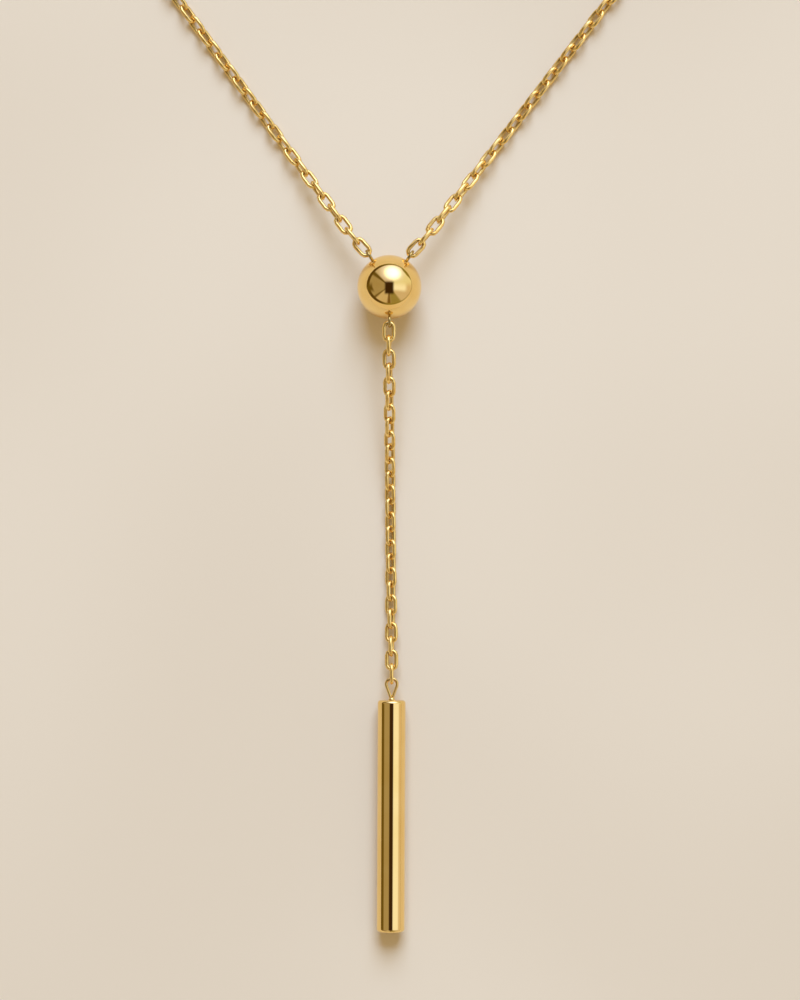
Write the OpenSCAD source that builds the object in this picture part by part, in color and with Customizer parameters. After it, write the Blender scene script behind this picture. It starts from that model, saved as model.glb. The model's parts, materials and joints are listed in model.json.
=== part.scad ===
// A Y necklace, lying on a flat surface. Two halves of cable chain run from a ball round to a plain
// clasp, and a third strand runs from the ball down to a round bar. Every link is a loose solid that
// passes through its neighbours a quarter turn apart, and all pieces hang on each other with one gap.

/* [Chain] */
// Diameter of the links' wire
wire = 0.46; // [0.4:0.02:0.48]
// Clearance between the wires where two pieces hang on each other
gap = 0.12; // [0.11:0.01:0.14]
// Clearance on each side of the thickest wire that passes through a link
side_play = 0.13; // [0.13:0.01:0.2]
// Length that each link of the neck chain adds
neck_pitch = 1.85; // [1.7:0.05:2.4]
// Links in each half of the neck chain
side_links = 104; // [96:1:112]
// Length that each link of the drop adds
drop_pitch = 1.73; // [1.5:0.005:2]
// Links in the drop
drop_links = 26; // [22:1:34]

/* [Ball] */
// Diameter of the ball
ball_d = 8; // [6:0.5:9]
// Diameter of the wire of the eyes on the ball and the bar
eye_wire = 0.38; // [0.34:0.02:0.4]
// Clearance on each side of a link's wire inside an eye
eye_play = 0.27; // [0.26:0.01:0.32]
// Depth of an eye's wire below the ball's surface, to the middle of the wire
eye_sink = 0.1; // [0.06:0.01:0.14]

/* [Bar] */
// Diameter of the bar
bar_d = 3.5; // [2.5:0.1:5]
// Length of the bar
bar_len = 29; // [20:0.5:40]
// Radius of the bar's rounded edges
bar_edge = 0.4; // [0.2:0.05:0.6]
// Distance from the middle of the bar's eye to its point on the bar's end
pear_len = 1.97; // [1.6:0.01:2.4]
// Difference in radius between the round end of the bar's eye and its slimmer legs
leg_step = 0.02; // [0.015:0.005:0.04]
// Diameter of the dot of solder that holds the bar's eye
solder_d = 0.8; // [0.7:0.05:1]

/* [Clasp] */
// Inside diameter of the clasp's ring
clasp_inside = 3.6; // [3:0.1:5]
// Diameter of the clasp's tube
clasp_tube = 1.2; // [1:0.05:1.4]
// Inside diameter of the ring that the clasp closes on
end_ring_inside = 2.8; // [2.6:0.1:4]
// Inside diameter of the clasp's eye
clasp_eye_inside = 1.1; // [1:0.05:1.6]
// Diameter of the wire of the end ring and the clasp's eye
ring_wire = 0.46; // [0.44:0.02:0.52]

/* [Layout] */
// Angle between each neck strand and the loop's centreline as it leaves the ball
strand_angle = 36.85; // [32:0.05:42]
// Angle between each upper eye of the ball and the loop's centreline
eye_angle = 33; // [30:0.5:36]
// Angle at which a neck strand sets out from its eye
start_angle = 43.5; // [43:0.5:45]
// Radius of the bend that eases a neck strand from its start angle to its own
lead_radius = 44; // [40:1:60]
// Angle that the drop swings to the right as it lies
drop_lean = 1.1; // [-3:0.1:3]
// Angle that the bar leans to the right as it lies
bar_lean = 0.4; // [-3:0.1:3]
// Angle by which the ball's lower eye stands up from level
drop_eye_rise = 20; // [0:1:25]
// Length over which a neck strand comes down from the ball to the surface
ball_ramp = 20; // [18:1:30]
// Length over which the drop comes down from the ball to the surface
drop_ramp = 24; // [20:1:28]
// Length over which the drop rises to the bar's axis
bar_ramp = 10; // [9:0.5:16]
// Length over which the neck chain rises to the clasp
clasp_ramp = 12; // [10:0.5:20]
// Tilt of the clasp's ring from lying flat
clasp_tilt = 30; // [20:1:40]

/* [Twist] */
// Waves of twist along the right half of the neck chain
right_waves = 2; // [1:0.5:3]
// Twist at the top of each wave of the right half
right_twist = 38; // [0:1:40]
// Waves of twist along the left half of the neck chain
left_waves = 1.5; // [1:0.5:3]
// Twist at the top of each wave of the left half
left_twist = 37; // [0:1:40]
// Waves of twist along the drop
drop_waves = 0.5; // [0.5:0.5:1]
// Twist at the top of each wave of the drop
drop_twist = 45; // [0:1:48]

/* [Hidden] */
$fn = 32;
smooth = 96;
chain_gold = [0.88, 0.72, 0.42];
polished_gold = [0.85, 0.66, 0.34];

// The link is as wide as the thickest wire that passes through it needs
link_inside = max(ring_wire, eye_wire, wire) + 2 * side_play;
link_width = link_inside + 2 * wire;

// Distance between the middles of two wires that cross where one piece hangs on another
function crossing(wire_a, wire_b) = (wire_a + wire_b) / 2 + gap;

// A strand's joints lie midway between the crossing wires of two links. A link's end reaches past
// its joint, and the wire of a ring that takes the link lies this far back from the joint.
link_reach = crossing(wire, wire) / 2;
function ring_back(thickness) = crossing(wire, thickness) - link_reach;

// Radii of the rings and eyes, to the middle of the wire
eye_r = wire / 2 + eye_play + eye_wire / 2;
end_ring_r = (end_ring_inside + ring_wire) / 2;
clasp_r = (clasp_inside + clasp_tube) / 2;
clasp_eye_r = (clasp_eye_inside + ring_wire) / 2;

// Distances from the ball's centre to its eyes, and in plan to the first joint of each strand
eye_centre = ball_d / 2 - eye_sink + eye_r;
strand_start = eye_centre + eye_r - ring_back(eye_wire);
drop_start = eye_centre * cos(drop_eye_rise) + eye_r - ring_back(eye_wire);

// The clasp's eye stands a quarter turn from its ring, with its wire half sunk in the tube
clasp_eye_centre = clasp_r + clasp_tube / 2 - ring_wire / 2 + clasp_eye_r;
end_ring_span = 2 * end_ring_r - ring_back(ring_wire) - crossing(ring_wire, clasp_tube) / 2;
clasp_span = clasp_r + clasp_eye_centre + clasp_eye_r
    - crossing(ring_wire, clasp_tube) / 2 - ring_back(ring_wire);
clasp_half = (end_ring_span + clasp_span) / 2;

// Heights above the surface
ball_z = ball_d / 2;
drop_start_z = ball_z + eye_centre * sin(drop_eye_rise);
chain_z = link_width / 2;
bar_z = bar_d / 2;
clasp_z = max(clasp_r * sin(clasp_tilt) + clasp_tube / 2, end_ring_r * cos(clasp_tilt) + ring_wire / 2);

// Height of a strand at a plan distance, eased from one height to another over a ramp
function eased(from, to, ramp, plan) = plan < 0 ? from
    : plan > ramp ? to
    : to + (from - to) * (1 + cos(180 * plan / ramp)) / 2;

// Length that such a ramp adds to its plan length
plan_step = 0.25;
function sum(values) = values * [for (value = values) 1];
function slope_length(from, to, ramp) = sum([for (plan = [0:plan_step:ramp])
    norm([plan_step, eased(from, to, ramp, plan + plan_step) - eased(from, to, ramp, plan)]) - plan_step]);

// Plan of half the neck: a short bend, a straight stretch and an arc round to the back. The straight
// stretch is as long as leaves the arc's centre on the loop's centreline.
degree = PI / 180;
function heading(angle) = [sin(angle), cos(angle)];
function bend(radius, from, to) = radius * [cos(to) - cos(from), sin(from) - sin(to)];
neck_half = side_links * neck_pitch + clasp_half;
plan_half = neck_half - slope_length(ball_z, chain_z, ball_ramp)
    - slope_length(clasp_z, chain_z, clasp_ramp);
lead_start = strand_start * heading(eye_angle);
lead_end = lead_start + bend(lead_radius, start_angle, strand_angle);
lead_len = lead_radius * (start_angle - strand_angle) * degree;
arc_per_offset = (90 + strand_angle) * degree / cos(strand_angle);
straight_len = (plan_half - lead_len - lead_end.x * arc_per_offset)
    / (1 + sin(strand_angle) * arc_per_offset);
arc_start = lead_end + straight_len * heading(strand_angle);
arc_radius = arc_start.x / cos(strand_angle);
arc_centre = [0, arc_start.y + arc_radius * sin(strand_angle)];

function neck_plan(plan) =
    plan < lead_len ? lead_start + bend(lead_radius, start_angle, start_angle - plan / lead_radius / degree)
    : plan < lead_len + straight_len ? lead_end + (plan - lead_len) * heading(strand_angle)
    : let (angle = strand_angle - (plan - lead_len - straight_len) / arc_radius / degree)
        arc_centre + arc_radius * [cos(angle), -sin(angle)];
function neck_height(plan) = plan < plan_half / 2 ? eased(ball_z, chain_z, ball_ramp, plan)
    : eased(clasp_z, chain_z, clasp_ramp, plan_half - plan - clasp_half);

// Plan of the drop: straight, from the ball to the bar's eye
drop_len = drop_links * drop_pitch;
drop_plan = drop_len - slope_length(drop_start_z, chain_z, drop_ramp)
    - slope_length(bar_z, chain_z, bar_ramp);
function drop_height(plan) = plan < (drop_plan + drop_ramp - bar_ramp) / 2
    ? eased(drop_start_z, chain_z, drop_ramp, plan)
    : eased(bar_z, chain_z, bar_ramp, drop_plan - plan);

// Table of a route's true length against its plan length, and places at a true length along it
function lengths(height, plan_len) = [
    for (plan = 0, len = 0; plan < plan_len + 2 * plan_step;
        len = len + norm([plan_step, height(plan + plan_step) - height(plan)]), plan = plan + plan_step)
        [len, plan]];
neck_lengths = lengths(function(plan) neck_height(plan), plan_half);
drop_lengths = lengths(function(plan) drop_height(plan), drop_plan);
function half_neck_at(len) = let (plan = lookup(len, neck_lengths))
    [each neck_plan(plan), neck_height(plan)];
function neck_at(len) = len <= neck_half ? half_neck_at(len)
    : let (place = half_neck_at(2 * neck_half - len)) [-place.x, place.y, place.z];
function drop_at(len) = let (plan = lookup(len, drop_lengths))
    [(drop_start + plan) * sin(drop_lean), -(drop_start + plan) * cos(drop_lean), drop_height(plan)];

// The bar's eye is a pear: a round end and two legs, in line with its ends, that meet in a point.
// The legs start a little way inside the round end and stop inside the solder.
leg_lap = 0.1;
leg_stop = solder_d / 4;
pear_angle = acos(eye_r / pear_len);
pear_leg = sqrt(pear_len * pear_len - eye_r * eye_r);
bar_way = [sin(bar_lean), -cos(bar_lean), 0];
pear_centre = drop_at(drop_len) + (eye_r - ring_back(eye_wire)) * bar_way;
bar_top = pear_centre + pear_len * bar_way;

// The origin lies on the surface, in the middle of the necklace's footprint
far_edge = arc_centre.y + arc_radius + clasp_r * cos(clasp_tilt) + clasp_tube / 2;
near_edge = bar_top.y - bar_len * cos(bar_lean);
footprint_middle = (far_edge + near_edge) / 2;

// Turn of each link about its strand: a quarter turn a link, waves of twist, and a slow turn that
// brings the neck's ends to the tilted clasp, or the drop's end upright at the bar's eye
end_turn = side_links % 2 == 0 ? 90 - clasp_tilt : clasp_tilt;
drop_turn = drop_links % 2 == 0 ? 0 : 90;
function quarter_turns(i) = 90 * i;
function neck_roll(i, waves, twist) =
    quarter_turns(i) - end_turn * i / side_links - twist * sin(360 * waves * i / side_links);
function drop_roll(i) = let (share = i / (drop_links - 1))
    quarter_turns(i) + drop_turn * share + drop_twist * sin(360 * drop_waves * share);

module laid() {
    translate([0, -footprint_middle, 0]) children();
}

// Puts a piece on the line from one joint to the next, at a distance from the first and rolled about it
module strung(start, end, distance, roll) {
    way = (end - start) / norm(end - start);
    translate(start + distance * way)
        rotate([0, -asin(way.z), atan2(way.y, way.x)])
            rotate([roll, 0, 0]) children();
}

module round_wire(r, thickness, swept = 360) {
    rotate_extrude(angle = swept) translate([r, 0]) circle(d = thickness);
}

module link(pitch) {
    r = (link_inside + wire) / 2;
    side = pitch + 2 * link_reach - 2 * r;
    for (end = [-1, 1])
        translate([end * side / 2, 0, 0]) rotate([0, 0, -90 * end]) round_wire(r, wire, 180);
    for (flank = [-1, 1])
        translate([0, flank * r, 0]) rotate([0, 90, 0]) cylinder(h = side, d = wire, center = true);
}

module half_neck(waves, twist) {
    for (i = [0:side_links - 1]) {
        start = neck_at(i * neck_pitch);
        end = neck_at((i + 1) * neck_pitch);
        strung(start, end, neck_pitch / 2, neck_roll(i, waves, twist)) link(neck_pitch);
    }
}

module neck_chain_right() {
    color(chain_gold) laid() half_neck(right_waves, right_twist);
}

module neck_chain_left() {
    color(chain_gold) laid() mirror([1, 0, 0]) half_neck(left_waves, left_twist);
}

module drop_chain() {
    color(chain_gold) laid()
        for (i = [0:drop_links - 1]) {
            start = drop_at(i * drop_pitch);
            end = drop_at((i + 1) * drop_pitch);
            strung(start, end, drop_pitch / 2, drop_roll(i)) link(drop_pitch);
        }
}

module ball() {
    color(polished_gold) laid() translate([0, 0, ball_z]) {
        sphere(d = ball_d, $fn = smooth);
        for (way = [[eye_angle, 0], [-eye_angle, 0], [180 - drop_lean, drop_eye_rise]])
            rotate([0, -way[1], 90 - way[0]]) translate([eye_centre, 0, 0])
                rotate([90, 0, 0]) round_wire(eye_r, eye_wire);
    }
}

module rounded_bar() {
    flat_d = bar_d - 2 * bar_edge;
    cylinder(h = bar_len, d = flat_d, $fn = smooth);
    translate([0, 0, bar_edge]) cylinder(h = bar_len - 2 * bar_edge, d = bar_d, $fn = smooth);
    for (z = [bar_edge, bar_len - bar_edge])
        translate([0, 0, z]) rotate_extrude($fn = smooth) translate([flat_d / 2, 0]) circle(r = bar_edge);
}

module pear_eye() {
    rotate([0, 0, pear_angle]) round_wire(eye_r, eye_wire, 360 - 2 * pear_angle);
    for (flank = [-1, 1])
        translate([pear_len, 0, 0]) rotate([0, 0, flank * (90 + pear_angle)])
            translate([leg_stop, 0, 0]) rotate([0, 90, 0])
                cylinder(h = pear_leg + leg_lap - leg_stop, d = eye_wire - 2 * leg_step);
    translate([pear_len, 0, 0]) sphere(d = solder_d);
}

module bar() {
    color(polished_gold) laid() translate(pear_centre) rotate([0, 0, bar_lean - 90]) {
        pear_eye();
        translate([pear_len, 0, 0]) rotate([0, 90, 0]) rounded_bar();
    }
}

module end_ring() {
    start = neck_at(side_links * neck_pitch);
    end = neck_at(side_links * neck_pitch + end_ring_span);
    color(polished_gold) laid()
        strung(start, end, end_ring_r - ring_back(ring_wire), quarter_turns(side_links) - end_turn)
            round_wire(end_ring_r, ring_wire);
}

module clasp() {
    start = neck_at(side_links * neck_pitch + end_ring_span);
    end = neck_at(side_links * neck_pitch + end_ring_span + clasp_span);
    from_start = clasp_r - crossing(ring_wire, clasp_tube) / 2;
    color(polished_gold) laid()
        strung(start, end, from_start, quarter_turns(side_links + 1) - end_turn) {
            round_wire(clasp_r, clasp_tube);
            translate([clasp_eye_centre, 0, 0]) rotate([90, 0, 0]) round_wire(clasp_eye_r, ring_wire);
        }
}

ball();
neck_chain_right();
neck_chain_left();
drop_chain();
bar();
clasp();
end_ring();
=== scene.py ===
# %% [markdown]
# # A gold Y necklace, lying on a pale floor
#
# The necklace is a loop of fine cable chain that meets in a polished ball. A third strand leaves
# the ball and carries a slim round bar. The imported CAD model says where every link, ring and bar
# lies. This lesson lays finer surfaces over those solids, gives them a gold finish, and lights
# them the way a jeweller lights polished metal: most of what one sees on a mirror is the room
# around it.

# %% The frame
import bmesh
import bpy
import json
import numpy as np
from math import atan, cos, degrees, pi, radians, sin
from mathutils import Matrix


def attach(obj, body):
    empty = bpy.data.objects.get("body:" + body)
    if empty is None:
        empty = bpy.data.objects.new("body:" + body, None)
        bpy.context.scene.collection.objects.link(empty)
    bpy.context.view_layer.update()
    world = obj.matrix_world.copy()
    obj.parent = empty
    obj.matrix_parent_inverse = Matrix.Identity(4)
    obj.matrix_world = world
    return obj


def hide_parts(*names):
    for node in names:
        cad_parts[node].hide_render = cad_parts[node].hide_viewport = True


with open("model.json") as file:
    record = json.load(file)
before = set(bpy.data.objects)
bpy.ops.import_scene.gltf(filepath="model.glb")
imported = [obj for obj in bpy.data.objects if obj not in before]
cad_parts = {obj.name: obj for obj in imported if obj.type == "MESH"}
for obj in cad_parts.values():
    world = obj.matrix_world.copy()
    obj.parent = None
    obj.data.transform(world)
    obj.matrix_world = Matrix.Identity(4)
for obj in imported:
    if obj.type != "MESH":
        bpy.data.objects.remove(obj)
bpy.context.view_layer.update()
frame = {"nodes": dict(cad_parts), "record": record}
MM = 0.001
print("nodes:", sorted(frame["nodes"]))

# %% [markdown]
# ## Reading the solids
#
# Each CAD node arrives as loose triangles in metres. A piece that stands for a node has to lie
# exactly where the node is. Its place could be typed in, but a place that is measured on those
# triangles stays right when the model changes. So the links, the ball and the bar are measured.


# %% Triangles of a node
def triangles(name):
    """Corners of a node's triangles, as an array of triangle, corner and axis."""
    mesh = frame["nodes"][name].data
    spots = np.empty(len(mesh.vertices) * 3, np.float32)
    mesh.vertices.foreach_get("co", spots)
    corners = np.empty(len(mesh.loops), np.int32)
    mesh.loops.foreach_get("vertex_index", corners)
    return spots.reshape(-1, 3)[corners].reshape(-1, 3, 3).astype(float)


def middle(points):
    """Half way between the lowest and the highest value on each axis."""
    return (points.min(axis=0) + points.max(axis=0)) / 2


print("triangles of the bar:", len(triangles("bar")))

# %% [markdown]
# ## Surfaces from grids
#
# Every new surface here is a grid of points: one parameter runs along a path, the other round it.
# A grid that closes on itself joins its last row to its first. Blender's primitives could make
# rings and spheres too, but a grid gives even faces and exact places, and one call can make a
# hundred links.


# %% Faces of a grid
def grid_faces(rows, columns, close_rows, close_columns):
    """Corner numbers of each face: a point, the next in its row, and the two below them."""
    across = np.arange(columns if close_columns else columns - 1)
    down = np.arange(rows if close_rows else rows - 1)
    row, column = np.meshgrid(down, across, indexing="ij")
    next_row, next_column = (row + 1) % rows, (column + 1) % columns
    corners = (row * columns + column, next_row * columns + column,
               next_row * columns + next_column, row * columns + next_column)
    return np.stack(corners, axis=-1).reshape(-1, 4)


def repeated(points, close_rows=True, close_columns=True):
    """Points and faces of many equal grids: points is an array of copy, row, column and axis."""
    copies, rows, columns, _ = points.shape
    faces = grid_faces(rows, columns, close_rows, close_columns)
    shift = np.arange(copies)[:, None, None] * rows * columns
    return points.reshape(-1, 3), (faces[None] + shift).reshape(-1, 4)


print("a closed grid of 3 by 4 points has", len(grid_faces(3, 4, True, True)), "faces")

# %% [markdown]
# ## A piece that stands for a node
#
# A grid that ends in a pole or an edge has points that lie on one another there. They could be left
# out of the grid, but then its rows would differ. So the finished mesh merges them and turns its
# faces outwards, and the CAD node that it stands for is hidden.

# %% A mesh from several grids
SAME_POINT = 0.0001 * MM


def made_piece(name, parts, node_name, finish, darkening=None):
    """One smooth object from several (points, faces), which then stands for a CAD node.

    Each part's corner numbers are moved up by the number of points before it. The last argument says,
    part by part, how far the metal is tinted towards dark olive, which on the chain's inner wire is
    painted shade: one number, or one for each point. Without it all is 0.
    """
    starts = np.cumsum([0] + [len(points) for points, faces in parts])
    points = np.concatenate([points for points, faces in parts])
    faces = np.concatenate([faces + start for (_, faces), start in zip(parts, starts)])
    mesh = bpy.data.meshes.new(name)
    mesh.from_pydata(points, [], faces)
    # How far each point is tinted towards dark olive: on the chain's inner wire this is painted
    # shade.
    darkened = np.concatenate([np.broadcast_to(share, len(points)) for (points, _), share
                           in zip(parts, darkening or [0.0] * len(parts))])
    mesh.attributes.new("darkened", "FLOAT", "POINT").data.foreach_set("value", darkened.astype(np.float32))
    work = bmesh.new()
    work.from_mesh(mesh)
    bmesh.ops.remove_doubles(work, verts=work.verts, dist=SAME_POINT)
    bmesh.ops.recalc_face_normals(work, faces=work.faces)
    work.to_mesh(mesh)
    work.free()
    mesh.shade_smooth()
    mesh.materials.append(finish)
    piece = bpy.data.objects.new(name, mesh)
    bpy.context.scene.collection.objects.link(piece)
    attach(piece, "root")
    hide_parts(node_name)
    print(name, "has", len(mesh.vertices), "points and", len(mesh.polygons), "faces")


# %% [markdown]
# ## Numbers in a shader
#
# A material is a small graph of nodes. Writing `noise * 0.2 + 0.1` is easier to read than three
# linked nodes, so one class wraps a node's output and turns each sign into the Math node that
# does it. Any other node, the output of a material too, comes from its `make` method.


# %% One class for shader maths
class Signal:
    """An output of a node. The usual signs work on it and add Math nodes to its tree."""

    def __init__(self, tree, socket=None):
        self.tree, self.socket = tree, socket

    def make(self, kind, settings=None, output=0, **inputs):
        """A node of this kind, with its settings made first and then its inputs given or linked.

        An input goes by its name with _ for each space, or by i and its number, as in i0.
        """
        node = self.tree.nodes.new(kind)
        for name, value in (settings or {}).items():
            setattr(node, name, value)
        for name, value in inputs.items():
            key = int(name[1:]) if name[0] == "i" and name[1:].isdigit() else name.replace("_", " ")
            self.feed(node.inputs[key], value)
        return Signal(self.tree, node.outputs[output] if node.outputs else None)

    def feed(self, socket, value):
        """Links a signal to a socket, or sets the socket to a number or colour."""
        if isinstance(value, Signal):
            self.tree.links.new(value.socket, socket)
        elif isinstance(value, tuple) and socket.type == "RGBA":
            socket.default_value = (*value, 1)
        else:
            socket.default_value = value

    def maths(self, operation, *values):
        """One Math node's result; its inputs are the values in their order."""
        inputs = {f"i{number}": value for number, value in enumerate(values)}
        return self.make("ShaderNodeMath", {"operation": operation}, **inputs)

    def __add__(self, other): return self.maths("ADD", self, other)
    def __radd__(self, other): return self.maths("ADD", other, self)
    def __sub__(self, other): return self.maths("SUBTRACT", self, other)
    def __rsub__(self, other): return self.maths("SUBTRACT", other, self)
    def __mul__(self, other): return self.maths("MULTIPLY", self, other)
    def __rmul__(self, other): return self.maths("MULTIPLY", other, self)
    def __abs__(self): return self.maths("ABSOLUTE", self)

    def rises(self, low, high):
        """0 below low and 1 above high, with a soft step between them. With high first it falls."""
        if low > high:
            return 1.0 - self.rises(high, low)
        return self.make("ShaderNodeMapRange", {"interpolation_type": "SMOOTHSTEP"},
                         Value=self, From_Min=low, From_Max=high)

    def within(self, low, high, soft):
        """1 between low and high, and 0 outside, with steps as wide as soft."""
        return self.rises(low - soft, low + soft) * self.rises(high + soft, high - soft)

    def tinted(self, colour_0, colour_1):
        """The first colour where this is 0 and the second where it is 1."""
        return self.make("ShaderNodeMix", {"data_type": "RGBA"}, output=2,
                         i0=self, i6=colour_0, i7=colour_1)


def blank(owner):
    """Empties the nodes of a material or a world, and gives a Signal that draws in its tree."""
    owner.use_nodes = True
    owner.node_tree.nodes.clear()
    print("nodes for", owner.name)
    return Signal(owner.node_tree)


# %% [markdown]
# ## Gold
#
# The necklace is yellow gold plate, buffed to a mirror on the ball and the bar. Paint has a
# colour under a clear gloss. Gold is a metal, so its base colour tints what it reflects instead.
# Buffing leaves faint clouds and hairlines, which show as small changes of roughness. A picture of
# scratches could be wrapped round each piece, but noise in the object's own space needs no wrapping.
# The thin wire of the links is drawn and tumbled, so it is less sharp. It keeps scratches too fine to
# show one by one, which scatter a little of the light. A point attribute tints the gold towards a
# dark olive. On the inner side of each link's wire, where the next link passes, this is painted
# shade. The ball's eyes and the bar's pear eye are tinted darker too.


# %% One function for every gold finish
# A dark olive that the gold is tinted towards; on the chain's inner wire it is painted shade.
DARK_OLIVE = (0.24, 0.18, 0.06)
HAIRLINE_WAVES = (9000.0, 9000.0, 700.0)  # to the metre: across, across and along a hairline
HAIRLINE_TURN = (radians(70), radians(25), 0.0)
CLOUD_SHARE = 0.6
RELIEF_STRENGTH = 0.02
RELIEF_DEPTH = 0.01 * MM


def gold(name, light, deep, cloud_size, shine, hairline, mirror=1.0):
    """Metal whose tint drifts between two colours, in clouds of a given size in millimetres.

    Its roughness is shine, plus shine times the clouds' share, plus hairline where a hairline runs.
    Where a point attribute is 1 it has a dark olive tint, which is painted shade on the inner side of
    the chain's wire. mirror is the share of the light that it reflects as metal does; the rest is
    scattered by scratches too fine to show.
    """
    material = bpy.data.materials.new(name)
    pen = blank(material)
    place = pen.make("ShaderNodeTexCoord", output="Object")
    clouds = pen.make("ShaderNodeTexNoise", Vector=place, Scale=1 / (cloud_size * MM), Detail=3.0)
    stretched = pen.make("ShaderNodeMapping", Vector=place, Scale=HAIRLINE_WAVES,
                         Rotation=HAIRLINE_TURN)
    lines = pen.make("ShaderNodeTexNoise", Vector=stretched, Scale=1.0, Detail=2.0)
    # Painted shade: the point attribute darkens the gold towards dark olive on the chain's inner
    # wire, and also darkens the eyes.
    darkened = pen.make("ShaderNodeAttribute", {"attribute_name": "darkened"}, output=2)
    tint = darkened.tinted(clouds.rises(0.35, 0.7).tinted(light, deep), DARK_OLIVE)
    rough = shine + clouds * shine * CLOUD_SHARE + lines.rises(0.55, 0.8) * hairline
    bump = pen.make("ShaderNodeBump", Height=lines + clouds, Strength=RELIEF_STRENGTH,
                    Distance=RELIEF_DEPTH)
    body = pen.make("ShaderNodeBsdfPrincipled", Base_Color=tint, Metallic=mirror,
                    Roughness=rough, Normal=bump)
    pen.make("ShaderNodeOutputMaterial", Surface=body)
    return material


# %% The four finishes
YELLOW_GOLD = (0.96, 0.69, 0.27)
PLATED_GOLD = (1.0, 0.73, 0.27)

BALL_GOLD = gold("gold_ball", YELLOW_GOLD, (0.93, 0.64, 0.22),
                 cloud_size=2.5, shine=0.035, hairline=0.03)
BAR_GOLD = gold("gold_bar", YELLOW_GOLD, (0.93, 0.65, 0.23),
                cloud_size=4.0, shine=0.035, hairline=0.03)
CHAIN_GOLD = gold("gold_chain", PLATED_GOLD, (0.98, 0.64, 0.19),
                  cloud_size=0.9, shine=0.09, hairline=0.06, mirror=0.93)
CLASP_GOLD = gold("gold_clasp", YELLOW_GOLD, (0.92, 0.63, 0.21),
                  cloud_size=2.0, shine=0.06, hairline=0.05)

# %% [markdown]
# ## The chain's links
#
# A cable chain's link is a ring of wire pressed to an oval: two half circles joined by straight
# sides. Each CAD link gives its own place and turn: the middle of its surface, and the directions
# in which that surface spreads most, less and least. One oval of a few dozen faces is then laid
# on every link. A tube of six flat sides looks slimmer than round wire, and plating rounds real
# wire out, so the tube is a hair thicker than the bare wire.

# %% An oval, and wire along a path
WIRE = 0.46 * MM
PLATED_WIRE = 0.52 * MM
ROUND_END = 0.59 * MM
WIRE_SIDES = 6
END_STEPS = 5


def oval_path(side):
    """Path of a link, closed, and its outward directions.

    Half circles, radius times (cos(turn), sin(turn), 0), round two points that lie side apart.
    """
    turn = np.linspace(-pi / 2, pi / 2, END_STEPS + 1)
    round_end = np.stack([np.cos(turn), np.sin(turn), 0 * turn], axis=1)
    outward = np.concatenate([round_end, -round_end])
    shift = np.repeat([[side / 2, 0, 0], [-side / 2, 0, 0]], END_STEPS + 1, axis=0)
    return outward * ROUND_END + shift, outward


def even_turns(steps):
    """Angles that part a full turn evenly, from 0."""
    return np.arange(steps) * 2 * pi / steps


def wire_round(path, outward, across, radius, sides):
    """Tube round a path: path + radius * (cos(turn) * outward + sin(turn) * across)."""
    turn = even_turns(sides)
    way = (np.cos(turn)[:, None] * outward[..., None, :]
           + np.sin(turn)[:, None] * across[..., None, :])
    return path[..., None, :] + radius * way


print("a link has", 2 * (END_STEPS + 1) * WIRE_SIDES, "faces")


# %% A chain of links where the CAD links are
# Painted shade on the inner side of a link's wire, where the next link passes through.
INSIDE_SHADE = 0.4
NECK_LINKS, DROP_LINKS = 104, 26


def link_places(name, count):
    """Middle of each link, its axes from the widest spread to the least, and half the mean length.

    The middle is the mean of the link's surface, with each triangle's share its area. The axes are
    those of the surface's spread about it, and half a length is the farthest reach along the first.
    """
    corners = triangles(name).reshape(count, -1, 3, 3)
    normal = np.cross(corners[:, :, 1] - corners[:, :, 0], corners[:, :, 2] - corners[:, :, 0])
    area = np.linalg.norm(normal, axis=2)[..., None]
    spots = corners.mean(axis=2)
    centre = (area * spots).sum(axis=1) / area.sum(axis=1)
    spread = spots - centre[:, None]
    _, axes = np.linalg.eigh(np.einsum("nai,naj->nij", area * spread, spread))
    reach = np.abs(np.einsum("nai,ni->na", spread, axes[:, :, 2])).max(axis=1)
    return centre, axes[:, :, ::-1].transpose(0, 2, 1), reach.mean()


def chain(name, node_name, count):
    """Links of smooth wire: one oval tube, turned to each CAD link's axes and moved to its middle."""
    centre, axes, reach = link_places(node_name, count)
    side = 2 * (reach - ROUND_END - WIRE / 2)
    path, outward = oval_path(side)
    across = np.broadcast_to([0.0, 0.0, 1.0], outward.shape)
    oval = wire_round(path, outward, across, PLATED_WIRE / 2, WIRE_SIDES)
    points = centre[:, None, None] + np.einsum("rci,nij->nrcj", oval, axes)
    # Painted shade: the wire is tinted darker on its inner side, which faces the link's middle.
    inner_shade = INSIDE_SHADE * np.clip(-np.cos(even_turns(WIRE_SIDES)), 0.0, 1.0)
    print(node_name, "links are", round(2 * reach / MM, 3), "mm long")
    made_piece(name, [repeated(points)], node_name, CHAIN_GOLD,
               [np.tile(inner_shade, count * len(path))])


chain("right_neck_links", "neck_chain_right", NECK_LINKS)
chain("left_neck_links", "neck_chain_left", NECK_LINKS)
chain("drop_links", "drop_chain", DROP_LINKS)

# %% [markdown]
# ## Rings of wire
#
# The ball's three eyes, the end ring and the clasp are all rings: a circle of wire round a
# middle. Blender's torus would have to be turned and moved after it is made. Here a ring is drawn
# where it lies, in the plane of two directions at right angles.


# %% A ring
def ring(centre, first, second, radius, wire, steps=40, sides=14):
    """Torus: centre + radius * (cos(turn) * first + sin(turn) * second), and a tube round that."""
    turn = even_turns(steps)[:, None]
    outward = np.cos(turn) * np.asarray(first) + np.sin(turn) * np.asarray(second)
    across = np.broadcast_to(np.cross(first, second), outward.shape)
    path = np.asarray(centre) + radius * outward
    return repeated(wire_round(path, outward, across, wire / 2, sides)[None])


print("a plain ring has", len(ring((0, 0, 0), (1, 0, 0), (0, 1, 0), MM, WIRE)[1]), "faces")

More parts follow.
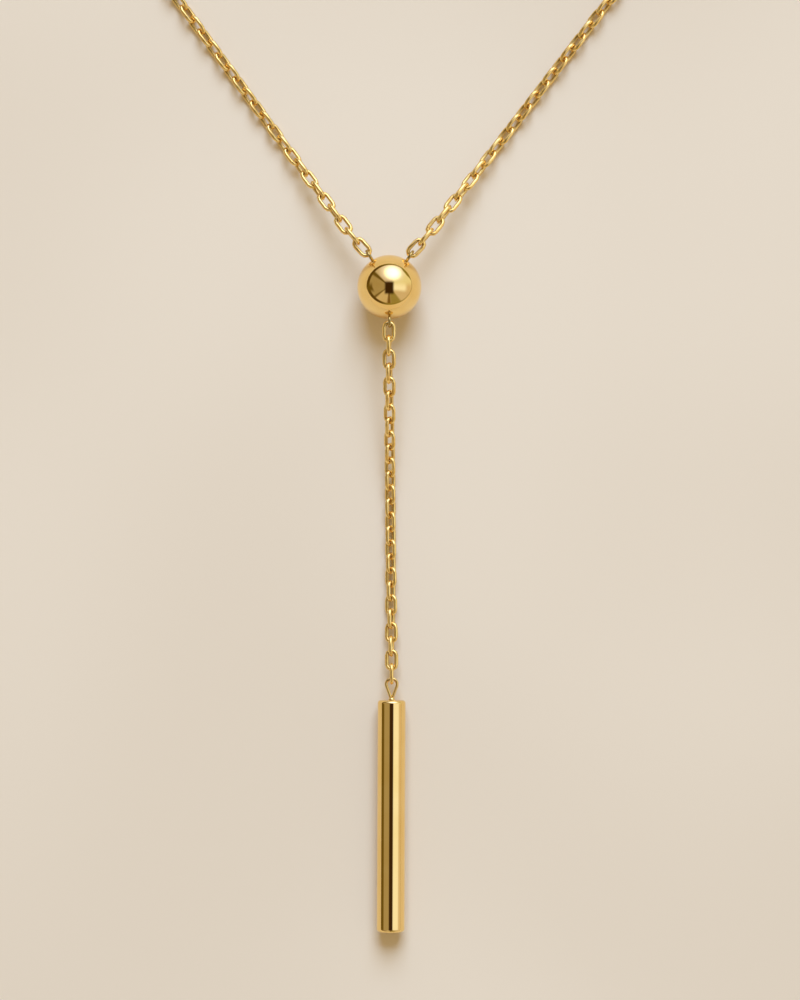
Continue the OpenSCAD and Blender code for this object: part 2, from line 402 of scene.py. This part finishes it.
# %% [markdown]
# ## The ball
#
# A mirror shows every flaw of the mesh under it. A sphere with poles has thin triangles there,
# right where the camera would look, so this one is a cube whose six faces are blown up to a
# sphere. Its squares are then nearly equal everywhere.

# %% Sizes and places of the ball and its eyes
BALL_RADIUS = 4 * MM
BALL_CAP_HEIGHT = 1.9 * BALL_RADIUS
EYE_WIRE = 0.38 * MM
EYE_RADIUS = 0.69 * MM
EYE_REACH = 4.59 * MM
# How far the ball's eyes are tinted towards dark olive.
EYE_DARKENING = 0.65
UPPER_EYE_ANGLE = radians(33)
LOWER_EYE_TURN = radians(1.1)
LOWER_EYE_RISE = radians(20)

ball_corners = triangles("ball").reshape(-1, 3)
ball_cap = ball_corners[ball_corners[:, 2] > BALL_CAP_HEIGHT]
ball_centre = np.array([*middle(ball_cap)[:2], BALL_RADIUS])
print("ball's centre in mm:", (ball_centre / MM).round(3))


def blown_cube(centre, radius, steps=40):
    """Sphere from a cube: on each face, tan of even angles, then every point pulled to one radius."""
    even = np.tan(np.linspace(-pi / 4, pi / 4, steps + 1))
    a, b = np.meshgrid(even, even, indexing="ij")
    one = np.ones_like(a)
    sides = np.stack([np.stack(face, axis=-1) for face in (
        (one, a, b), (-one, b, a), (b, one, a), (a, -one, b), (a, b, one), (b, a, -one))])
    sides /= np.linalg.norm(sides, axis=-1, keepdims=True)
    return repeated(np.asarray(centre) + radius * sides, close_rows=False, close_columns=False)


def ball_eye(turn, rise):
    """Upright ring of wire, sunk a little into the ball, at a turn from +Y and a rise from level.

    Its middle is the ball's plus the eye's reach along (sin(turn) cos(rise), cos(turn) cos(rise),
    sin(rise)), and its plane holds that direction and the one square to it that points up.
    """
    way = np.array([sin(turn) * cos(rise), cos(turn) * cos(rise), sin(rise)])
    up = np.array([-sin(turn) * sin(rise), -cos(turn) * sin(rise), cos(rise)])
    return ring(ball_centre + EYE_REACH * way, way, up, EYE_RADIUS, EYE_WIRE)


# %% The ball
made_piece("ball_with_eyes", [
    blown_cube(ball_centre, BALL_RADIUS),
    ball_eye(UPPER_EYE_ANGLE, 0.0),
    ball_eye(-UPPER_EYE_ANGLE, 0.0),
    ball_eye(pi - LOWER_EYE_TURN, LOWER_EYE_RISE),
], "ball", BALL_GOLD, [0.0] + 3 * [EYE_DARKENING])

# %% [markdown]
# ## The bar
#
# The bar is a turned rod with softened edges. Its side is dead straight, so the room shows in it
# as long stripes. Blender's cylinder with a bevel would do, but its smooth shading would bend the
# stripes. Here a profile, from the middle of one end round its edge and along the side to the
# other, is carried round the axis, and a row of points on both sides of each edge keeps the rest
# straight.

# %% Sizes and place of the bar
BAR_RADIUS = 1.75 * MM
BAR_LENGTH = 29 * MM
BAR_EDGE = 0.4 * MM
EDGE_STEPS = 9
FACE_ROWS = (0.0, 0.5, 0.97)  # shares of the flat's radius
SIDE_START = 1.15  # edges from the end
PEAR_LENGTH = 1.97 * MM
SOLDER = 0.4 * MM
# How far the pear eye and its solder are tinted towards dark olive.
PEAR_DARKENING = 0.15

bar_corners = triangles("bar").reshape(-1, 3)
bar_low_y = bar_corners[:, 1].min()
near_end = bar_corners[bar_corners[:, 1] < bar_low_y + 2 * BAR_EDGE]
wide = bar_corners[bar_corners[:, 1] < bar_low_y + BAR_LENGTH - 0.5 * BAR_EDGE]
far_end = wide[wide[:, 1] > bar_low_y + BAR_LENGTH - 2 * BAR_EDGE]
bar_run = middle(far_end) - middle(near_end)
bar_lean = atan(bar_run[0] / bar_run[1])
bar_way = np.array([-sin(bar_lean), -cos(bar_lean), 0.0])
bar_side = np.array([cos(bar_lean), -sin(bar_lean), 0.0])
UP = np.array([0.0, 0.0, 1.0])
bar_foot = np.array([middle(near_end)[0], bar_low_y, BAR_RADIUS])
bar_top = bar_foot - BAR_LENGTH * bar_way
print("bar's top in mm:", (bar_top / MM).round(3), "lean", round(degrees(bar_lean), 2))


def turned(profile, start, way, side, steps=96):
    """Solid of revolution: start + radius * (cos(turn) * side + sin(turn) * other) + height * way.

    other is the direction square to way and side.
    """
    turn = even_turns(steps)
    other = np.cross(way, side)
    outward = np.cos(turn)[:, None] * side + np.sin(turn)[:, None] * other
    radius, height = profile[:, 0], profile[:, 1]
    points = start + radius[:, None, None] * outward + height[:, None, None] * way
    return repeated(points[None], close_rows=False)


def rod_profile():
    """Radius and height from the middle of one end, round its edge, along the side to the other.

    The edge is a quarter circle: flat + edge * sin(turn) out and edge * (1 - cos(turn)) up. The
    second half is the first one read backwards, with its heights counted from the other end.
    """
    turn = np.linspace(0, pi / 2, EDGE_STEPS)
    flat = BAR_RADIUS - BAR_EDGE
    edge = np.stack([flat + BAR_EDGE * np.sin(turn), BAR_EDGE * (1 - np.cos(turn))], axis=1)
    face = np.array([[share * flat, 0.0] for share in FACE_ROWS])
    heights = np.linspace(SIDE_START * BAR_EDGE, BAR_LENGTH / 2, EDGE_STEPS)
    side = np.stack([np.full(EDGE_STEPS, BAR_RADIUS), heights], axis=1)
    half = np.concatenate([face, edge, side])
    other = half[-2::-1] * [1, -1] + [0, BAR_LENGTH]
    return np.concatenate([half, other])


def pear_path(steps=26, leg_steps=6):
    """Path of the pear's wire, closed, and its outward directions.

    An arc round the pear's middle, then two straight legs that touch the arc and meet at the tip.
    """
    opening = np.arccos(EYE_RADIUS / PEAR_LENGTH)
    turn = np.linspace(opening, 2 * pi - opening, steps)
    arc_out = np.stack([np.cos(turn), np.sin(turn)], axis=1)
    share = np.linspace(0, 1, leg_steps + 1)[1:-1, None]
    tip = np.array([[PEAR_LENGTH, 0.0]])
    last, first = arc_out[-1:] * EYE_RADIUS, arc_out[:1] * EYE_RADIUS
    path = np.concatenate([arc_out * EYE_RADIUS, last + share * (tip - last), tip,
                           tip + share * (first - tip)])
    outward = np.concatenate([arc_out, np.repeat(arc_out[-1:], leg_steps - 1, axis=0),
                              [[1.0, 0.0]], np.repeat(arc_out[:1], leg_steps - 1, axis=0)])
    return path, outward


def pear_eye(sides=14):
    """Tube round the pear, laid level on the bar's line with its tip on the bar's end."""
    path, outward = pear_path()
    plane = np.stack([bar_way, bar_side])
    centre = bar_top - PEAR_LENGTH * bar_way
    across = np.broadcast_to(UP, (len(path), 3))
    return repeated(wire_round(centre + path @ plane, outward @ plane, across,
                               EYE_WIRE / 2, sides)[None])


# %% The bar
made_piece("bar_with_eye", [
    turned(rod_profile(), bar_top, bar_way, bar_side),
    pear_eye(),
    blown_cube(bar_top, SOLDER, steps=10),
], "bar", BAR_GOLD, [0.0, PEAR_DARKENING, PEAR_DARKENING])

# %% [markdown]
# ## The clasp and its ring
#
# Both lie at the back of the neck. The clasp is a thick ring with a small soldered eye, and it
# closes on the thin end ring. The record of the part gives the middle and the axis of each hole.
# So these pieces use the same ring as the eyes, in the plane that is square to the hole's axis.

# %% Planes of the two holes
END_RING_RADIUS = 1.63 * MM
CLASP_RADIUS = 2.4 * MM
CLASP_TUBE = 1.2 * MM
CLASP_EYE_RADIUS = 0.78 * MM
CLASP_EYE_REACH = 3.55 * MM

mounts = {mount["name"]: mount for mount in frame["record"]["mounts"]}


def hole_plane(name):
    """Middle of a hole, a level direction across it, the one up its slope, and its axis.

    The level one is square to the axis and to the vertical; the slope is square to it and the axis.
    """
    axis = np.array(mounts[name]["axis"]) / np.linalg.norm(mounts[name]["axis"])
    level = np.cross(axis, UP)
    level /= np.linalg.norm(level)
    return np.array(mounts[name]["pos_m"]), level, np.cross(axis, level), axis


ring_middle, ring_level, ring_slope, _ = hole_plane("end_ring_hole")
clasp_middle, clasp_level, clasp_slope, clasp_axis = hole_plane("clasp_ring")
print("clasp's plane:", clasp_level.round(3), clasp_slope.round(3))

# %% The end ring, and the clasp with its eye on the side where the clasp reaches farthest
made_piece("end_ring_wire", [
    ring(ring_middle, ring_level, ring_slope, END_RING_RADIUS, WIRE, steps=48),
], "end_ring", CLASP_GOLD)

clasp_corners = triangles("clasp").reshape(-1, 3)
farthest = clasp_corners[np.argmax(np.linalg.norm(clasp_corners - clasp_middle, axis=1))]
eye_way = clasp_level * np.sign(np.dot(farthest - clasp_middle, clasp_level))
made_piece("clasp_ring_tube", [
    ring(clasp_middle, clasp_level, clasp_slope, CLASP_RADIUS, CLASP_TUBE, steps=64, sides=24),
    ring(clasp_middle + CLASP_EYE_REACH * eye_way, eye_way, clasp_axis, CLASP_EYE_RADIUS, WIRE),
], "clasp", CLASP_GOLD)

# %% [markdown]
# ## The camera
#
# The photograph looks straight down from about half a metre, which flattens a small object
# kindly. A long lens does the same here. The picture is 1000 pixels tall and shows 125 mm at the
# chain's height. The ball is laid at its place in the picture, and the camera's own place follows
# from that.

# %% The camera
SENSOR = 36  # in mm, along the picture's longer side
CAMERA_HEIGHT = 0.502
CHAIN_HEIGHT = 2 * MM
PICTURE_HEIGHT = 0.125
PICTURE_ROLL = radians(0.65)
BALL_ACROSS, BALL_ABOVE = -1.332 * MM, 26.52 * MM

scene = bpy.context.scene
lens = bpy.data.cameras.new("lens")
lens.sensor_width = SENSOR
lens.lens = SENSOR * (CAMERA_HEIGHT - CHAIN_HEIGHT) / PICTURE_HEIGHT
camera = bpy.data.objects.new("camera", lens)
scene.collection.objects.link(camera)
scene.camera = camera
picture_right = np.array([cos(PICTURE_ROLL), sin(PICTURE_ROLL)])
picture_up = np.array([-sin(PICTURE_ROLL), cos(PICTURE_ROLL)])
camera_place = ball_centre[:2] - BALL_ACROSS * picture_right - BALL_ABOVE * picture_up
camera.location = (*camera_place, CAMERA_HEIGHT)
camera.rotation_euler = (0, 0, PICTURE_ROLL)
print("camera in mm:", np.round(np.array(camera.location) / MM, 2))

# %% [markdown]
# ## The floor
#
# A pale cream floor, with no pattern that would draw the eye. It could curve up to a wall behind,
# as a paper roll does, but from above one flat sheet is enough. Its tint drifts very slightly.

# %% The floor
FLOOR_HALF = 3.0
CREAM, PALE_CREAM = (0.81, 0.73, 0.65), (0.86, 0.785, 0.71)

floor_corners = [(-FLOOR_HALF, -FLOOR_HALF, 0), (FLOOR_HALF, -FLOOR_HALF, 0),
                 (FLOOR_HALF, FLOOR_HALF, 0), (-FLOOR_HALF, FLOOR_HALF, 0)]
floor_mesh = bpy.data.meshes.new("floor")
floor_mesh.from_pydata(floor_corners, [], [(0, 1, 2, 3)])
floor = bpy.data.objects.new("floor", floor_mesh)
scene.collection.objects.link(floor)
paper = bpy.data.materials.new("pale_paper")
pen = blank(paper)
place = pen.make("ShaderNodeTexCoord", output="Object")
drift = pen.make("ShaderNodeTexNoise", Vector=place, Scale=14.0, Detail=1.0)
tint = drift.rises(0.3, 0.7).tinted(CREAM, PALE_CREAM)
sheet = pen.make("ShaderNodeBsdfPrincipled", Base_Color=tint, Roughness=0.75)
pen.make("ShaderNodeOutputMaterial", Surface=sheet)
floor_mesh.materials.append(paper)
print("the floor is", 2 * FLOOR_HALF, "m wide")

# %% [markdown]
# ## The light
#
# One wide lamp stands far behind the necklace and throws soft shadows towards the bar. It faces
# the middle of the necklace. A near lamp would light the floor unevenly, so this one is far and
# strong. The metal doesn't show it, because the softbox that the metal shows is painted, further
# on.

# %% The lamp
LAMP_PLACE = (0.15, 2.15, 1.95)
LAMP_SIDE = 1.88
LAMP_POWER = 95.0
LAMP_COLOUR = (0.655, 0.813, 1.0)

light = bpy.data.lights.new("lamp_behind", "AREA")
light.size = LAMP_SIDE
light.energy = LAMP_POWER
light.color = LAMP_COLOUR
lamp = bpy.data.objects.new("lamp_behind", light)
scene.collection.objects.link(lamp)
lamp.location = LAMP_PLACE
lamp.rotation_mode = "QUATERNION"
lamp.rotation_quaternion = lamp.location.normalized().to_track_quat("Z", "Y")
lamp.visible_glossy = False
print("the lamp is", round(lamp.location.length, 2), "m away")

# %% [markdown]
# ## The room in the metal
#
# Polished metal shows the whole room. Walls and screens could be built round the necklace, but
# they would shade it. So the room is painted on the world, as it is seen in the ball: a bright
# softbox behind, a pale wall on the right, an olive dusk on the left, and the dark camera
# straight above. Only reflected rays see that room. All other rays see an even, warm light, which
# also fills the shadows.

# %% Directions in the room
FLOOR_CLIMB = 0.36  # how steeply the floor's edge climbs towards the front, as the metal shows it

world = bpy.data.worlds.new("room")
scene.world = world
pen = blank(world)
way = pen.make("ShaderNodeTexCoord", output="Generated")
right = pen.make("ShaderNodeSeparateXYZ", output="X", Vector=way)
back = pen.make("ShaderNodeSeparateXYZ", output="Y", Vector=way)
up = pen.make("ShaderNodeSeparateXYZ", output="Z", Vector=way)
around = pen.maths("ARCTAN2", back, right) * degrees(1)
tilt = pen.maths("ARCTAN2", right, up) * degrees(1)
floor_line = up + FLOOR_CLIMB * pen.maths("MINIMUM", back, 0.0)
bar_view = back.rises(-0.36, -0.11) * back.rises(0.30, -0.05)
left_side = right.rises(0.02, -0.02)


def sector(start, end, soft=5.0):
    """1 between two bearings, in degrees counted from the right over the back."""
    return around.within(start, end, soft)


def glow(azimuth, elevation, inner, outer):
    """1 within the inner angle of a direction, fading to 0 at the outer angle, all in degrees.

    The cosine of a ray's angle from that direction is the sum of the products of their parts.
    """
    a, e = radians(azimuth), radians(elevation)
    near = right * (cos(a) * cos(e)) + back * (sin(a) * cos(e)) + up * sin(e)
    return near.rises(cos(radians(outer)), cos(radians(inner)))


def painted(room, *patches):
    """The room with patches laid over it in turn, each a mask and the colour where the mask is 1."""
    for mask, colour in patches:
        room = mask.tinted(room, colour)
    return room


print("nodes for the directions:", len(world.node_tree.nodes))

# %% The room's walls, from the right round to the front
WALL = (0.86, 0.89, 0.80)
PEACH_WALL = (0.66, 0.57, 0.50)
BRIGHT_WALL = (1.02, 1.08, 1.22)
LOW_WALL = (0.72, 0.62, 0.53)
CEILING = (0.63, 0.57, 0.57)
SOFTBOX_GLOW = (1.05, 1.15, 1.8)
SOFTBOX = (3.0, 3.2, 3.8)
DARK = (0.15, 0.105, 0.018)
DUSK = (0.41, 0.345, 0.225)
SAND_FRONT = (0.64, 0.55, 0.44)
BROWN_FRONT = (0.20, 0.12, 0.03)
OLIVE_FRONT = (0.33, 0.285, 0.11)

right_wall = back.rises(-0.25, 0.1).tinted(PEACH_WALL, WALL)
lit_wall = tilt.rises(54, 72).tinted(BRIGHT_WALL, LOW_WALL)
soft_core = glow(77, 38, 3, 36)
room = painted(
    bar_view.tinted(right_wall, lit_wall),
    (sector(61, 134), CEILING),
    (glow(80, 32, 8, 46), SOFTBOX_GLOW),
    (soft_core * soft_core, SOFTBOX),
    (left_side * abs(around).rises(129, 137), DARK),
    (left_side * abs(around).rises(141, 149), DUSK),
    (sector(-142, -96), SAND_FRONT),
    (sector(-147, -141), DARK),
    (sector(-97, -83), BROWN_FRONT),
    (sector(-84, -50), OLIVE_FRONT))
print("nodes with the walls:", len(world.node_tree.nodes))

# %% The dark rim above the floor, the floor itself, and the camera
RIM_LEFT, RIM_RIGHT = (0.11, 0.07, 0.012), (0.30, 0.26, 0.07)
FLOOR_SEEN = (0.78, 0.67, 0.55)
CAMERA_BLACK = (0.045, 0.022, 0.006)

rim_line = 0.13 - 0.10 * right + 0.14 * sector(26, 54, 10.0)
rim_colour = right.rises(-0.6, 0.1).tinted(RIM_LEFT, RIM_RIGHT)
camera_shade = right.within(-0.27, 0.27, 0.08) * back.within(-0.46, 0.28, 0.09) * up.rises(0.0, 0.1)
room = painted(
    room,
    ((floor_line - rim_line).rises(0.03, -0.03), rim_colour),
    (floor_line.rises(0.50, 0.38) * left_side * bar_view, DARK),
    (floor_line.rises(0.02, -0.02), FLOOR_SEEN),
    (camera_shade, CAMERA_BLACK))
print("nodes of the whole room:", len(world.node_tree.nodes))

# %% What each kind of ray sees
EVEN_LIGHT = (0.49, 0.365, 0.18)
SEEN_FAR = (0.75, 0.67, 0.58)

reflected = pen.make("ShaderNodeLightPath", output="Is Glossy Ray")
looked_at = pen.make("ShaderNodeLightPath", output="Is Camera Ray")
seen = looked_at.tinted(reflected.tinted(EVEN_LIGHT, room), SEEN_FAR)
sky = pen.make("ShaderNodeBackground", Color=seen, Strength=1.0)
pen.make("ShaderNodeOutputWorld", Surface=sky)
print("all other rays see red, green and blue of", EVEN_LIGHT)

# %% [markdown]
# ## Colours as they are
#
# A view transform that bends bright colours would make gold look grey, so the plain one shows them as
# they are.

# %% Colours as they are
scene.view_settings.view_transform = "Standard"
